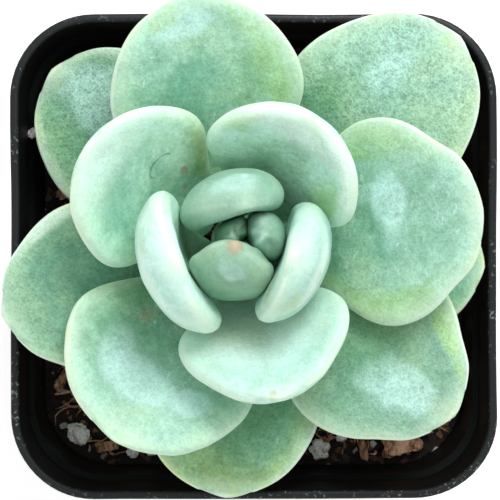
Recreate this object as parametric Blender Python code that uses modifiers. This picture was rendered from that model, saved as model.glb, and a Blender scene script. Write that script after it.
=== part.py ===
"""A rosette succulent with thick waxy leaves, growing in a square plastic nursery pot.

Sizes are in millimetres and are turned into metres as each mesh is made. The origin is the middle of the
underside of the pot, +Z is up, and the pot's sides face along X and Y.
"""

import math
from dataclasses import dataclass

import bmesh
import bpy
from mathutils import Vector, noise

MM = 0.001
CLEARANCE = 0.3                 # between pieces that touch or rest on each other

# Pot
POT_WIDTH = 64.0                # outside, across the rim
POT_HEIGHT = 60.0
POT_BASE_WIDTH = 50.0           # outside, across the foot
POT_CORNER_RADIUS = 11.0
POT_WALL = 1.1
RIM_BAND_HEIGHT = 8.0           # the band under the rim stands out by a small step
RIM_BAND_STEP = 0.6
RIM_ROUNDING = 0.35
CORNER_FACETS = 6
DRAIN_HOLE_RADIUS = 3.0
DRAIN_HOLE_INSET = 12.0         # from the side of the foot to the middle of a hole

# Soil
SOIL_DROP = 14.0                # from the rim down to the soil
SOIL_LUMP = 0.6
SOIL_LUMP_SPACING = 4.5
SOIL_GRID = 24
PRESS_MARGIN = 1.2              # the soil is pressed flat this far round each loose piece

# Stem
STEM_OFFSET = (-1.9, 2.0)       # from the middle of the pot
STEM_RADIUS = 3.7
STEM_TAPER_START = -3.5         # heights here are above the rim
STEM_TOP = 6.3
STEM_STEPS = 20
ROOT_CROWN_RADIUS = 4.4
ROOT_CROWN_DEPTH = 8.0          # below the soil

# Rosette
GOLDEN_ANGLE = 137.5
FIRST_LEAF_AZIMUTH = 354.0
FIRST_LEAF_HEIGHT = -12.4       # above the rim
LEAF_PITCH = 1.1                # up the stem, from one leaf to the next
LEAF_SEGMENTS = 18              # around a leaf
LEAF_RINGS = 12                 # along a leaf
SMALL_LEAF_WIDTH = 8.0          # narrower leaves need fewer facets
SMALL_LEAF_SEGMENTS = 12
SMALL_LEAF_RINGS = 9
NECK_SHARE = 0.42               # the width at a leaf's neck, as a share of its full width
WIDEST_AT = 0.62                # along the leaf
TIP_POINT = 0.6                 # how far the small point stands beyond the tip

LEAF_COLOR = (0.36, 0.60, 0.46)
HEART_COLOR = (0.30, 0.52, 0.42)
STEM_COLOR = (0.33, 0.36, 0.18)
POT_COLOR = (0.012, 0.014, 0.014)
SOIL_COLOR = (0.045, 0.028, 0.018)
PERLITE_COLOR = (0.62, 0.61, 0.58)
BARK_COLOR = (0.17, 0.095, 0.045)


@dataclass
class Leaf:
    """One leaf, as it grows from the stem."""

    name: str
    turn: float                 # how far it strays from the golden angle, in degrees
    length: float
    width: float
    thickness: float
    rise: tuple                 # slope where it leaves the stem and at its tip, in degrees
    cup: float                  # how far each side curls up, in degrees
    stand_off: float = 0.5      # from the stem
    dish: float = 0.16          # hollow of the upper face, as a share of the thickness
    back: float = 0.6           # share of the thickness that is below the rim of the leaf
    keel: float = 1.0           # above 1, the back comes to a blunt ridge
    skew: float = 0.0           # above 0, the left side is the wider one
    bend: float = 0.0           # sideways, at the tip
    blunt: float = 1.0          # above 1, the tip is squarer


LEAVES = [
    Leaf("outer_leaf_1", 0.0, 29.2, 22.0, 4.0, (24, 12), 10),
    Leaf("outer_leaf_2", 6.0, 29.6, 22.5, 4.2, (20, 7), 10),
    Leaf("outer_leaf_3", -2.0, 30.9, 24.5, 4.4, (30, 14), 10),
    Leaf("outer_leaf_4", -3.7, 36.4, 25.6, 4.6, (28, 12), 10),
    Leaf("outer_leaf_5", 13.5, 29.5, 23.0, 4.5, (30, 15), 12),
    Leaf("outer_leaf_6", -0.5, 33.4, 25.0, 4.6, (30, 16), 12),
    Leaf("outer_leaf_7", 3.0, 30.8, 25.6, 4.6, (33, 22), 12),
    Leaf("outer_leaf_8", 2.0, 29.3, 26.8, 4.8, (34, 28), 16, skew=-0.04),
    Leaf("outer_leaf_9", -6.5, 30.2, 27.3, 4.8, (34, 24), 16, blunt=1.1),
    Leaf("middle_leaf_1", -1.5, 24.7, 23.0, 4.8, (40, 47), 30),
    Leaf("middle_leaf_2", -3.5, 23.9, 23.0, 4.8, (45, 50), 30),
    Leaf("middle_leaf_3", -8.5, 24.0, 22.0, 4.8, (52, 58), 34),
    Leaf("inner_leaf_1", -2.5, 23.9, 20.0, 5.7, (42, 114), 44, dish=0.03, keel=1.2),
    Leaf("inner_leaf_2", 1.5, 21.8, 16.6, 5.7, (46, 113), 40, dish=0.0, keel=1.2, skew=-0.12),
    Leaf("inner_leaf_3", -15.0, 18.1, 13.4, 5.6, (60, 112), 44, dish=0.0, back=0.66, keel=1.3,
         skew=0.04, bend=-1.8),
    Leaf("inner_leaf_4", 2.5, 19.3, 9.8, 5.6, (62, 128), 26, dish=0.0, keel=1.6, bend=-0.3),
    Leaf("heart_leaf_1", -22.0, 13.4, 5.9, 4.1, (69, 96), 20, 0.4, dish=0.0, back=0.52, keel=1.2),
    Leaf("heart_leaf_2", -28.5, 11.8, 4.5, 2.6, (84, 95), 20, 0.9, dish=0.0, back=0.55, keel=1.3),
    Leaf("heart_leaf_3", -20.0, 8.6, 1.9, 1.2, (84, 90), 15, 0.6, dish=0.0, back=0.5, keel=1.2),
]

# Perlite grains: place as a share of the way to the pot's wall, size, and flatness.
PERLITE = [
    ("perlite_1", -0.84, -0.84, 3.0, 0.75),
    ("perlite_2", -0.58, -0.93, 1.9, 0.80),
    ("perlite_3", -0.49, -0.93, 1.5, 0.90),
    ("perlite_4", 0.32, -0.93, 2.6, 0.80),
    ("perlite_5", 0.42, -0.86, 1.4, 0.90),
    ("perlite_6", 0.95, -0.33, 1.2, 0.80),
    ("perlite_7", 0.93, -0.56, 1.5, 0.80),
    ("perlite_8", -0.93, 0.20, 1.1, 0.90),
]

# Bark and husk chips: place as for perlite, length, width, thickness and turn in degrees.
BARK = [
    ("bark_chip_1", 0.71, -0.90, 4.8, 2.6, 1.5, 12),
    ("bark_chip_2", 0.93, -0.74, 2.6, 1.5, 1.0, 75),
    ("bark_chip_3", 0.53, -0.93, 2.6, 1.0, 0.9, 100),
    ("bark_chip_4", -0.90, 0.30, 2.2, 1.3, 0.9, 20),
    ("bark_chip_5", -0.91, -0.58, 3.6, 1.2, 0.9, 62),
    ("bark_chip_6", -0.76, -0.68, 3.4, 1.1, 1.0, 130),
    ("bark_chip_7", -0.70, -0.91, 3.2, 1.3, 0.9, 10),
]

# Husk fibres: where each starts and ends, placed as for perlite, and how high its middle arches.
FIBRES = [
    ("husk_fibre_1", (-0.95, -0.66), (-0.66, -0.60), 1.6),
    ("husk_fibre_2", (-0.96, -0.46), (-0.84, -0.60), 0.8),
    ("husk_fibre_3", (0.58, -0.84), (0.86, -0.84), 1.4),
]
FIBRE_RADIUS = 0.22
FIBRE_POINTS = 7


# ---- Helpers -------------------------------------------------------------------------------------


def clear_scene():
    for obj in list(bpy.data.objects):
        bpy.data.objects.remove(obj, do_unlink=True)


def new_collection(name):
    collection = bpy.data.collections.new(name)
    bpy.context.scene.collection.children.link(collection)
    return collection


def make_material(name, color, roughness):
    material = bpy.data.materials.new(name)
    material.use_nodes = True
    shader = material.node_tree.nodes["Principled BSDF"]
    shader.inputs["Base Color"].default_value = (*color, 1.0)
    shader.inputs["Roughness"].default_value = roughness
    shader.inputs["Metallic"].default_value = 0.0
    return material


def add_mesh(name, bm, collection, material):
    """Turn a bmesh in millimetres into a smooth-shaded object in metres."""
    bmesh.ops.scale(bm, vec=(MM, MM, MM), verts=bm.verts)
    mesh = bpy.data.meshes.new(name)
    bm.to_mesh(mesh)
    bm.free()
    mesh.shade_smooth()
    if material:
        mesh.materials.append(material)
    obj = bpy.data.objects.new(name, mesh)
    collection.objects.link(obj)
    return obj


def smooth_step(x):
    x = min(max(x, 0.0), 1.0)
    return x * x * (3.0 - 2.0 * x)


def signed_power(x, power):
    return math.copysign(abs(x) ** power, x)


def rough(point, spacing, seed):
    """Smooth noise from -1 to 1, the same on each run."""
    return noise.noise(Vector(point) / spacing + Vector((seed * 17.3, seed * 5.1, seed * 9.7)))


# ---- Pot -----------------------------------------------------------------------------------------


def pot_half_width(z):
    """Half the outside width of the plain pot wall at height z, without the rim band's step."""
    return POT_BASE_WIDTH / 2 + wall_lean() * z


def wall_lean():
    """How far the pot's wall leans outward for each millimetre that it rises."""
    return (POT_WIDTH / 2 - RIM_BAND_STEP - POT_BASE_WIDTH / 2) / POT_HEIGHT


def inner_half_width(z):
    """Half the inside width at height z."""
    step = RIM_BAND_STEP if z > POT_HEIGHT - RIM_BAND_HEIGHT else 0.0
    return pot_half_width(z) + step - POT_WALL * math.hypot(1.0, wall_lean())


def build_pot(collection, cutters):
    """A tapered square shell with round corners and a stepped band under its rim."""
    bm = bmesh.new()
    bmesh.ops.create_cube(bm, size=2.0)
    top_half = pot_half_width(POT_HEIGHT)
    for vert in bm.verts:
        vert.co = (vert.co.x * top_half, vert.co.y * top_half, POT_HEIGHT if vert.co.z > 0 else 0.0)
    upright = [e for e in bm.edges if abs(e.verts[0].co.z - e.verts[1].co.z) > POT_HEIGHT / 2]
    bmesh.ops.bevel(
        bm, geom=upright, offset=POT_CORNER_RADIUS, segments=CORNER_FACETS, profile=0.5, affect="EDGES"
    )
    taper = top_half - POT_BASE_WIDTH / 2
    for vert in (v for v in bm.verts if v.co.z < POT_HEIGHT / 2):
        vert.co.x -= math.copysign(taper, vert.co.x)
        vert.co.y -= math.copysign(taper, vert.co.y)
    lid = [f for f in bm.faces if f.normal.z > 0.9]
    bmesh.ops.delete(bm, geom=lid, context="FACES_ONLY")
    band_foot = POT_HEIGHT - RIM_BAND_HEIGHT
    for level in (band_foot - RIM_BAND_STEP, band_foot):
        everything = bm.verts[:] + bm.edges[:] + bm.faces[:]
        bmesh.ops.bisect_plane(bm, geom=everything, plane_co=(0, 0, level), plane_no=(0, 0, 1))
    for vert in bm.verts:
        if vert.co.z > band_foot - RIM_BAND_STEP / 2:
            widen = 1.0 + RIM_BAND_STEP / pot_half_width(vert.co.z)
            vert.co.x *= widen
            vert.co.y *= widen
    bmesh.ops.recalc_face_normals(bm, faces=bm.faces)
    pot = add_mesh("pot", bm, collection, make_material("pot_plastic", POT_COLOR, 0.3))

    wall = pot.modifiers.new("Wall", "SOLIDIFY")
    wall.thickness = POT_WALL * MM
    wall.offset = -1.0
    wall.use_even_offset = True
    rounding = pot.modifiers.new("Rounded edges", "BEVEL")
    rounding.width = RIM_ROUNDING * MM
    rounding.segments = 2
    rounding.limit_method = "ANGLE"
    rounding.angle_limit = math.radians(60)
    drain = pot.modifiers.new("Drain holes", "BOOLEAN")
    drain.object = build_drain_cutter(cutters)
    return pot


def build_drain_cutter(cutters):
    """Four round holes through the floor, one near each corner."""
    bm = bmesh.new()
    reach = POT_BASE_WIDTH / 2 - DRAIN_HOLE_INSET
    for side_x in (-1, 1):
        for side_y in (-1, 1):
            made = bmesh.ops.create_cone(
                bm, cap_ends=True, segments=20, radius1=DRAIN_HOLE_RADIUS, radius2=DRAIN_HOLE_RADIUS,
                depth=POT_WALL * 4,
            )
            bmesh.ops.translate(bm, vec=(side_x * reach, side_y * reach, POT_WALL / 2), verts=made["verts"])
    cutter = add_mesh("drain_cutter", bm, cutters, None)
    hide_cutter(cutter)
    return cutter


def hide_cutter(cutter):
    cutter.hide_render = True
    cutter.display_type = "WIRE"


# ---- Leaves --------------------------------------------------------------------------------------


def stem_radius(height):
    """Radius of the stem at a height above the rim: straight below, and a blunt dome above."""
    share = (height - STEM_TAPER_START) / (STEM_TOP - STEM_TAPER_START)
    return STEM_RADIUS * math.sqrt(min(1.0, max(0.0, 1.0 - share)))


def leaf_point(leaf, sphere_point, azimuth, height):
    """Carry a point of the unit sphere, whose +Z pole is the tip, onto the leaf."""
    start, end = (math.radians(angle) for angle in leaf.rise)
    along = (1.0 + sphere_point.z) / 2.0
    ring = math.sqrt(max(0.0, 1.0 - sphere_point.z ** 2))
    around = math.atan2(sphere_point.y, sphere_point.x)

    # The midrib is an arc whose slope goes evenly from start to end.
    slope = start + (end - start) * along
    arc_radius = leaf.length / (end - start)
    reach = stem_radius(height) + leaf.stand_off + arc_radius * (math.sin(slope) - math.sin(start))
    rise = height - arc_radius * (math.cos(slope) - math.cos(start))

    # The section across it is a rounded lens, dished above and keeled below.
    neck = NECK_SHARE + (1.0 - NECK_SHARE) * smooth_step(along / WIDEST_AT)
    half_width = leaf.width / 2.0 * ring ** (0.9 / leaf.blunt) * neck
    depth = leaf.thickness * ring ** 0.55 * (0.5 + 0.5 * smooth_step(along / 0.55))
    side = signed_power(math.cos(around), 0.8)
    half_width *= 1.0 + leaf.skew * side
    if math.sin(around) >= 0:
        up = (1.0 - leaf.back) * depth * math.sin(around) ** 0.8
        up -= leaf.dish * leaf.thickness * (1.0 - side * side) ** 1.5 * smooth_step(along / 0.4) * ring
    else:
        up = -leaf.back * depth * abs(math.sin(around)) ** (0.8 * leaf.keel)

    # The section is rolled up about a line above the midrib, so both sides rise.
    cup_radius = leaf.width / 2.0 / math.radians(leaf.cup)
    roll = side * half_width / cup_radius
    across = (cup_radius - up) * math.sin(roll) + leaf.bend * along * along
    above = cup_radius - (cup_radius - up) * math.cos(roll)

    reach -= above * math.sin(slope)
    rise += above * math.cos(slope)
    if along > 0.9999:
        reach += TIP_POINT * math.cos(end)
        rise += TIP_POINT * math.sin(end)
    angle = math.radians(azimuth)
    return Vector((
        reach * math.cos(angle) - across * math.sin(angle) + STEM_OFFSET[0],
        reach * math.sin(angle) + across * math.cos(angle) + STEM_OFFSET[1],
        rise + POT_HEIGHT,
    ))


def leaf_bmesh(leaf, number):
    """A leaf's mesh, for its number up the stem, with the crown at its usual height."""
    azimuth = FIRST_LEAF_AZIMUTH + GOLDEN_ANGLE * number + leaf.turn
    height = FIRST_LEAF_HEIGHT + LEAF_PITCH * number
    small = leaf.width < SMALL_LEAF_WIDTH
    segments = SMALL_LEAF_SEGMENTS if small else LEAF_SEGMENTS
    rings = SMALL_LEAF_RINGS if small else LEAF_RINGS
    bm = bmesh.new()
    bmesh.ops.create_uvsphere(bm, u_segments=segments, v_segments=rings, radius=1.0)
    for vert in bm.verts:
        vert.co = leaf_point(leaf, vert.co.copy(), azimuth, height)
    return bm


def beyond_inner_wall(point, z):
    """How far a point is past the pot's inner wall at height z; below 0 it is inside."""
    half = inner_half_width(min(z, POT_HEIGHT))
    corner = POT_CORNER_RADIUS - POT_WALL
    dx = max(0.0, abs(point.x) - (half - corner))
    dy = max(0.0, abs(point.y) - (half - corner))
    return math.hypot(dx, dy) - corner


def crown_lift(leaf_meshes):
    """How far the whole rosette must rise for its leaves to clear the soil and the pot's rim."""
    lift = 0.0
    soil_top = POT_HEIGHT - SOIL_DROP + SOIL_LUMP + CLEARANCE
    for bm in leaf_meshes:
        for vert in bm.verts:
            lift = max(lift, soil_top - vert.co.z)
            if vert.co.z < POT_HEIGHT + CLEARANCE and beyond_inner_wall(vert.co, vert.co.z) > -CLEARANCE:
                lift = max(lift, POT_HEIGHT + CLEARANCE - vert.co.z)
    return lift


def build_leaves(collection):
    """All the leaves; returns how far the crown was lifted."""
    wax = make_material("leaf_wax", LEAF_COLOR, 0.55)
    heart_wax = make_material("heart_leaf_wax", HEART_COLOR, 0.5)
    meshes = [leaf_bmesh(leaf, number) for number, leaf in enumerate(LEAVES)]
    lift = crown_lift(meshes)
    for leaf, bm in zip(LEAVES, meshes):
        bmesh.ops.translate(bm, vec=(0, 0, lift), verts=bm.verts)
        add_mesh(leaf.name, bm, collection, heart_wax if leaf.name.startswith("heart") else wax)
    return lift


# ---- Stem ----------------------------------------------------------------------------------------


def stem_profile(lift, grow):
    """The stem's outline from top to bottom, as (radius, z); grow fattens it for the hole in the soil."""
    rim = POT_HEIGHT + lift
    soil = POT_HEIGHT - SOIL_DROP
    points = [(0.0, rim + STEM_TOP + grow)]
    for step in range(1, 8):
        height = STEM_TOP + (STEM_TAPER_START - STEM_TOP) * (step / 7.0) ** 1.5
        points.append((stem_radius(height) + grow, rim + height))
    points += [
        (STEM_RADIUS + grow, soil + 1.0),
        (ROOT_CROWN_RADIUS + grow, soil - 1.5),
        (ROOT_CROWN_RADIUS * 0.8 + grow, soil - ROOT_CROWN_DEPTH * 0.6),
        (ROOT_CROWN_RADIUS * 0.3 + grow, soil - ROOT_CROWN_DEPTH * 0.95 - grow),
        (0.0, soil - ROOT_CROWN_DEPTH - grow * 1.2),
    ]
    return points


def turned(name, profile, collection, material):
    """A closed turned solid about the stem's axis."""
    bm = bmesh.new()
    verts = [bm.verts.new((radius, 0.0, z)) for radius, z in profile]
    for upper, lower in zip(verts, verts[1:]):
        bm.edges.new((upper, lower))
    obj = add_mesh(name, bm, collection, material)
    obj.location = (STEM_OFFSET[0] * MM, STEM_OFFSET[1] * MM, 0.0)
    screw = obj.modifiers.new("Turn", "SCREW")
    screw.axis = "Z"
    screw.steps = STEM_STEPS
    screw.render_steps = STEM_STEPS
    screw.use_merge_vertices = True
    screw.merge_threshold = 0.00001
    return obj


# ---- Soil and what lies on it --------------------------------------------------------------------


def placed(share_x, share_y):
    """A place on the soil, from shares of the way to the pot's wall."""
    reach = inner_half_width(POT_HEIGHT - SOIL_DROP) - CLEARANCE
    return share_x * reach, share_y * reach


def resting_pieces():
    """The middle and the footprint radius of everything that is pressed into the soil."""
    pieces = [(*placed(x, y), size / 2) for _, x, y, size, _ in PERLITE]
    pieces += [(*placed(x, y), length / 2) for _, x, y, length, _, _, _ in BARK]
    return pieces


def soil_height(x, y):
    """The soil's surface: lumpy, and pressed flat under each grain and chip."""
    lump = SOIL_LUMP * rough((x, y, 0.0), SOIL_LUMP_SPACING, 1)
    for piece_x, piece_y, radius in resting_pieces():
        distance = math.hypot(x - piece_x, y - piece_y)
        press = 1.0 - smooth_step((distance - radius - PRESS_MARGIN) / 2.5)
        lump = lump * (1.0 - press) - SOIL_LUMP * press
    return POT_HEIGHT - SOIL_DROP + lump


def rest_height():
    """The height of the underside of what lies on the soil."""
    return POT_HEIGHT - SOIL_DROP - SOIL_LUMP + CLEARANCE


def round_corner(x, y, half, radius):
    """Pull a point of a square grid inward so that the square's corners become round."""
    inner = half - radius
    dx = abs(x) - inner
    dy = abs(y) - inner
    if dx <= 0 or dy <= 0:
        return x, y
    shrink = max(dx, dy) / math.hypot(dx, dy)
    return math.copysign(inner + dx * shrink, x), math.copysign(inner + dy * shrink, y)


def build_soil(collection, cutters, lift):
    """One lump of potting mix that fills the pot, with a hole for the root crown."""
    top_half = inner_half_width(POT_HEIGHT - SOIL_DROP) - CLEARANCE
    floor = POT_WALL + CLEARANCE
    floor_half = inner_half_width(floor) - CLEARANCE - RIM_ROUNDING
    radius = POT_CORNER_RADIUS - POT_WALL - CLEARANCE
    bm = bmesh.new()
    bmesh.ops.create_grid(bm, x_segments=SOIL_GRID, y_segments=SOIL_GRID, size=1.0)
    surface = bm.verts[:]
    rim_edges = [e for e in bm.edges if e.is_boundary]
    wall = bmesh.ops.extrude_edge_only(bm, edges=rim_edges)["geom"]
    for vert in (v for v in wall if isinstance(v, bmesh.types.BMVert)):
        x, y = round_corner(vert.co.x * floor_half, vert.co.y * floor_half, floor_half, radius)
        vert.co = (x, y, floor)
    for vert in surface:
        x, y = round_corner(vert.co.x * top_half, vert.co.y * top_half, top_half, radius)
        z = soil_height(x, y)
        lean = (z - POT_HEIGHT + SOIL_DROP) * wall_lean() / top_half
        vert.co = (x * (1.0 + lean), y * (1.0 + lean), z)
    foot_edges = [e for e in bm.edges if e.is_boundary]
    bmesh.ops.edgeloop_fill(bm, edges=foot_edges)
    bmesh.ops.recalc_face_normals(bm, faces=bm.faces)
    soil = add_mesh("soil", bm, collection, make_material("soil_mix", SOIL_COLOR, 0.95))

    hole = turned("root_cutter", stem_profile(lift, CLEARANCE), cutters, None)
    hide_cutter(hole)
    cut = soil.modifiers.new("Root hole", "BOOLEAN")
    cut.object = hole
    return soil


def roughen(bm, amount, spacing, seed):
    """Push each vertex in or out by smooth noise."""
    for vert in bm.verts:
        vert.co *= 1.0 + amount * rough(vert.co, spacing, seed)


def settle(bm, x, y):
    """Move a loose piece so that it stands at a place on the soil."""
    lowest = min(vert.co.z for vert in bm.verts)
    bmesh.ops.translate(bm, vec=(x, y, rest_height() - lowest), verts=bm.verts)


def build_perlite(collection):
    """White expanded grains, each its own irregular lump."""
    material = make_material("perlite_grain", PERLITE_COLOR, 0.9)
    for seed, (name, share_x, share_y, size, flat) in enumerate(PERLITE):
        bm = bmesh.new()
        bmesh.ops.create_icosphere(bm, subdivisions=2, radius=size / 2)
        roughen(bm, 0.35, size * 0.45, seed + 3)
        bmesh.ops.scale(bm, vec=(1.0, 1.0, flat), verts=bm.verts)
        settle(bm, *placed(share_x, share_y))
        add_mesh(name, bm, collection, material)


def build_bark(collection):
    """Splintered chips of bark and coconut husk."""
    material = make_material("bark_chip", BARK_COLOR, 0.85)
    for seed, (name, share_x, share_y, length, width, thick, turn) in enumerate(BARK):
        bm = bmesh.new()
        bmesh.ops.create_cube(bm, size=1.0)
        bmesh.ops.subdivide_edges(bm, edges=bm.edges, cuts=2, use_grid_fill=True)
        roughen(bm, 0.5, 0.45, seed + 20)
        bmesh.ops.scale(bm, vec=(length, width, thick), verts=bm.verts)
        spin = math.radians(turn)
        for vert in bm.verts:
            x, y = vert.co.x, vert.co.y
            vert.co.x = x * math.cos(spin) - y * math.sin(spin)
            vert.co.y = x * math.sin(spin) + y * math.cos(spin)
        settle(bm, *placed(share_x, share_y))
        add_mesh(name, bm, collection, material)


def build_fibres(collection):
    """Stiff strands of coconut husk that arch over the chips."""
    material = make_material("husk_fibre", BARK_COLOR, 0.9)
    for name, start, end, arch in FIBRES:
        curve = bpy.data.curves.new(name, "CURVE")
        curve.dimensions = "3D"
        curve.bevel_depth = FIBRE_RADIUS * MM
        curve.bevel_resolution = 1
        curve.use_fill_caps = True
        curve.materials.append(material)
        strand = curve.splines.new("POLY")
        strand.points.add(FIBRE_POINTS - 1)
        first = Vector(placed(*start))
        last = Vector(placed(*end))
        for step, point in enumerate(strand.points):
            share = step / (FIBRE_POINTS - 1)
            x, y = first.lerp(last, share)
            z = rest_height() + SOIL_LUMP * 2 + FIBRE_RADIUS + arch * math.sin(math.pi * share)
            point.co = (x * MM, y * MM, z * MM, 1.0)
        collection.objects.link(bpy.data.objects.new(name, curve))


def main():
    clear_scene()
    plant = new_collection("potted_succulent")
    cutters = new_collection("cutters")
    build_pot(plant, cutters)
    lift = build_leaves(plant)
    turned("stem", stem_profile(lift, 0.0), plant, make_material("stem_skin", STEM_COLOR, 0.7))
    build_soil(plant, cutters, lift)
    build_perlite(plant)
    build_bark(plant)
    build_fibres(plant)


main()
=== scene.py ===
"""A rosette succulent in a square plastic nursery pot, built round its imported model.

Run it as a script. The stage is small and bright: a pale floor, a broad soft light and a camera overhead.
"""

import math
from functools import partialmethod

import bmesh
import bpy
import numpy as np
from bpy.props import FloatProperty, FloatVectorProperty, IntProperty, PointerProperty
from bpy.types import Operator, Panel, PropertyGroup
from mathutils import Matrix, Vector, noise
from mathutils.bvhtree import BVHTree


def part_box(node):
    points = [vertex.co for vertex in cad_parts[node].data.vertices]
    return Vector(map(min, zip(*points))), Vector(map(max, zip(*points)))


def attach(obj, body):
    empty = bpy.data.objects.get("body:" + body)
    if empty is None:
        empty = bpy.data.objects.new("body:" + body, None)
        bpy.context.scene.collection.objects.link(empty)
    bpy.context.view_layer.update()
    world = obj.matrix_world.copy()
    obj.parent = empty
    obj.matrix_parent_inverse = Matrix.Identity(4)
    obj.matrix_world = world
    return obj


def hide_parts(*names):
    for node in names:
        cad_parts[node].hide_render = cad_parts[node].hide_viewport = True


bl_info = {
    "name": "Potted Succulent",
    "version": (1, 0, 0),
    "blender": (4, 5, 0),
    "location": "View3D > Sidebar > Succulent",
    "description": "Models a rosette succulent, its potting mix and its square nursery pot",
    "category": "Object",
}

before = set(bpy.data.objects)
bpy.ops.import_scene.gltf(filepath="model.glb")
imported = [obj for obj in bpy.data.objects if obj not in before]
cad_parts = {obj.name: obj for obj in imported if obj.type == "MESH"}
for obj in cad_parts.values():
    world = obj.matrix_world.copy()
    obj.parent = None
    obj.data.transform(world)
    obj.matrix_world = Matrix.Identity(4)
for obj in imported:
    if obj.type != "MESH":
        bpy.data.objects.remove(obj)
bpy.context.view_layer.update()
POT_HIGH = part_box("pot")[1]
SOIL_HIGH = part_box("soil")[1]
STEM_LOW, STEM_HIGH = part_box("stem")
MM = 0.001
POT_FOOT = 50.0 * MM
DRAIN_INSET = 12.0 * MM
DRAIN_RADIUS = 3.0 * MM
FITTING_PASSES = 4
STEM_X = (STEM_LOW.x + STEM_HIGH.x) / 2
STEM_Y = (STEM_LOW.y + STEM_HIGH.y) / 2


# ---- Sizes and colours ----

def colour(name, description, default):
    return FloatVectorProperty(
        name=name, description=description, default=default, size=3, min=0.0, max=1.0, subtype="COLOR"
    )


def length(name, description, default):
    return FloatProperty(name=name, description=description, default=default, min=0.0, unit="LENGTH")


class LeafSettings(PropertyGroup):
    # Deep green is laid at the leaves' feet and in their hollows, partly as painted shade.
    deep: colour("Deep green", "Leaf flesh in the hollows, under little bloom", (0.15, 0.39, 0.22))
    mint: colour("Mint", "Leaf flesh under an even coat of bloom", (0.33, 0.62, 0.455))
    bloom: colour("Bloom", "Powdery wax at its thickest", (0.54, 0.8, 0.74))
    warm: colour("Warm green", "Flesh that the sun has turned a yellower green", (0.33, 0.53, 0.2))
    edge: colour("Edge", "The pale, almost clear margin of a leaf", (0.7, 0.88, 0.74))
    smoothing: IntProperty(
        name="Smoothing", description="Times each facet is halved", default=3, min=1, max=4
    )
    margin: length("Margin ridge", "How far the rim of a leaf stands up", 0.1 * MM)
    crowding: length("Crowding", "How far the heart's leaves fill out toward each other", 0.9 * MM)
    swell: length("Swelling", "How far the flesh swells and sinks between its veins", 0.22 * MM)


class PotSettings(PropertyGroup):
    width: length("Width", "Across the rim, outside", 2 * POT_HIGH.x)
    foot: length("Foot", "Across the foot, outside", POT_FOOT)
    height: length("Height", "From the floor to the rim", POT_HIGH.z)
    corner: length("Corner radius", "Round the upright corners, outside", 11.0 * MM)
    wall: length("Wall", "Thickness of the plastic", 1.1 * MM)
    band: length("Rim band", "Depth of the band under the rim", 8.0 * MM)
    step: length("Band step", "How far the band stands out", 0.6 * MM)
    warp: length("Warp", "How far the thin rim wanders from a straight line", 0.22 * MM)
    black: colour("Plastic", "The pot's plastic", (0.0035, 0.0045, 0.005))
    # Real scuffs and painted glints along the rim.
    scuff_and_glint: colour("Scuff", "Rubbed plastic along the rim", (0.2, 0.215, 0.22))


class MixSettings(PropertyGroup):
    crumbs: IntProperty(name="Crumbs", description="Loose crumbs on the soil", default=1500, min=0)
    strands: IntProperty(name="Strands", description="Loose strands of coconut fibre", default=1400, min=0)
    crumb_size: length("Crumb size", "Across a middling crumb", 0.6 * MM)
    soil: colour("Soil", "Moist potting mix", (0.024, 0.015, 0.01))
    husk: colour("Husk", "Coconut husk and bark", (0.52, 0.27, 0.15))
    perlite: colour("Perlite", "Expanded white grains", (0.76, 0.76, 0.73))


class StageSettings(PropertyGroup):
    view_height: length("View height", "From the rim up to the camera", 350.0 * MM)
    view_width: length("View width", "Across what the camera sees at the rim", 65.7 * MM)
    floor: colour("Floor", "The pale table top", (0.93, 0.93, 0.93))
    sky: FloatProperty(name="Sky", description="Strength of the even light all round", default=0.85, min=0.0)
    lamp: FloatProperty(name="Lamp", description="Power of the soft lamp", default=1.5, min=0.0, unit="POWER")


# ---- Shader building ----

class Signal:
    """A value inside a material; arithmetic on it adds Math nodes."""

    def __init__(self, paint, socket):
        self.paint = paint
        self.socket = socket

    def combine(self, operation, other=0.0):
        return self.paint.node("ShaderNodeMath", {"operation": operation}, {0: self, 1: other})

    __add__ = __radd__ = partialmethod(combine, "ADD")
    __sub__ = partialmethod(combine, "SUBTRACT")
    __mul__ = __rmul__ = partialmethod(combine, "MULTIPLY")
    __truediv__ = partialmethod(combine, "DIVIDE")
    __abs__ = partialmethod(combine, "ABSOLUTE")
    most = partialmethod(combine, "MAXIMUM")
    least = partialmethod(combine, "MINIMUM")

    def __rsub__(self, other):
        return self.paint.node("ShaderNodeMath", {"operation": "SUBTRACT"}, {0: other, 1: self})


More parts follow.
